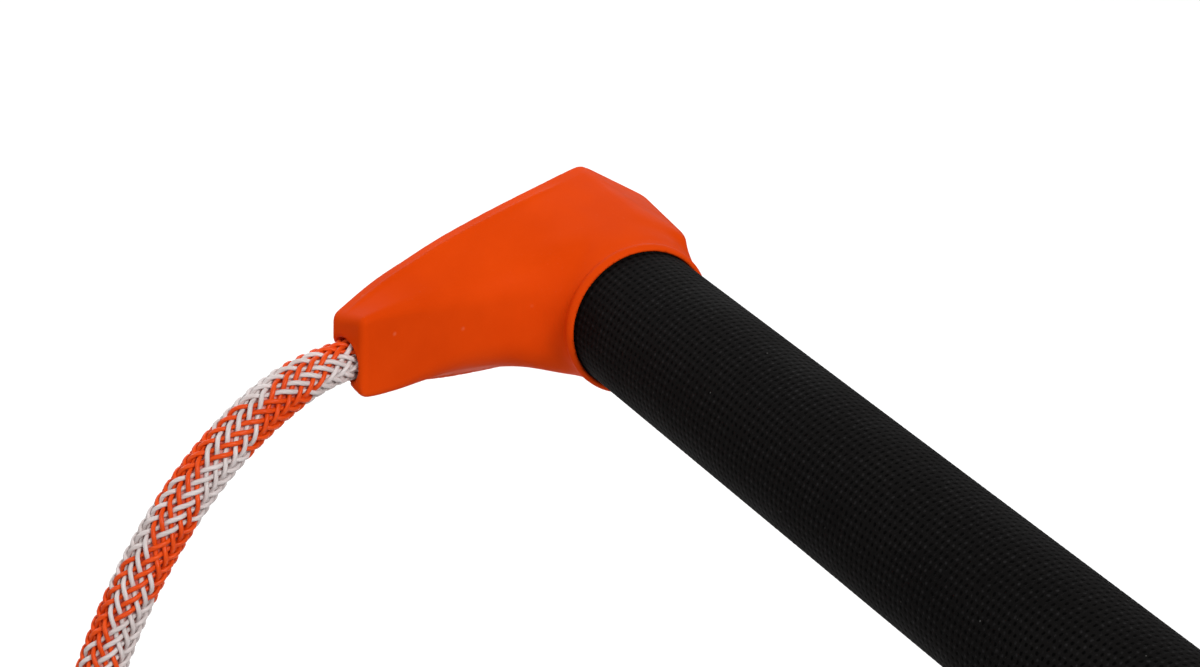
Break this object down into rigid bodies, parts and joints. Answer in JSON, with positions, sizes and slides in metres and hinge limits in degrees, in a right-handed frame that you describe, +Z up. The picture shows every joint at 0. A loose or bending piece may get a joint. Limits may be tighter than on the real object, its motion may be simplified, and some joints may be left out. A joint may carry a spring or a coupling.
{
  "type": "tow rope handle",
  "caption": "Straight tow rope handle: a textured black grip on a tube between two moulded end caps, each holding one leg of a braided bridle rope that is put away in a tied hank.",
  "frame": {"origin": "middle of the grip, on the bar's axis, where a hand holds the handle up", "axes": "+X along the bar; the rope leaves both caps towards -Y and hangs down; +Z up"},
  "size_m": [0.381, 0.195, 0.3756],
  "materials": {
    "cap_plastic": "satin moulded, semi-gloss",
    "grip_rubber": "matte with a fine woven texture",
    "tube_aluminium": "drawn",
    "plug_nylon": "moulded",
    "bung_rubber": "matte",
    "washer_steel": "stamped",
    "foam": "closed-cell foam",
    "rope": "hollow braid of orange and white yarns",
    "whipping_cord": "waxed twine",
    "strap_webbing": "hook-and-loop webbing"
  },
  "bodies": {
    "root": {"end_cap_left": "cap_plastic", "end_cap_right": "cap_plastic", "grip_sleeve": "grip_rubber", "bar_tube": "tube_aluminium", "anchor_plug_left": "plug_nylon", "anchor_plug_right": "plug_nylon", "rope_bush_left": "plug_nylon", "rope_bush_right": "plug_nylon", "sealing_bung_left": "bung_rubber", "sealing_bung_right": "bung_rubber", "knot_washer_left": "washer_steel", "knot_washer_right": "washer_steel", "foam_core": "foam", "stopper_knot_left": "rope", "stopper_knot_right": "rope", "rope_inner_run_left": "rope", "rope_inner_run_right": "rope", "rope_leg_left": "rope", "rope_leg_right": "rope", "rope_hank": "rope", "rope_eye": "rope", "eye_whipping": "whipping_cord", "hank_strap": "strap_webbing"}
  },
  "joints": []
}
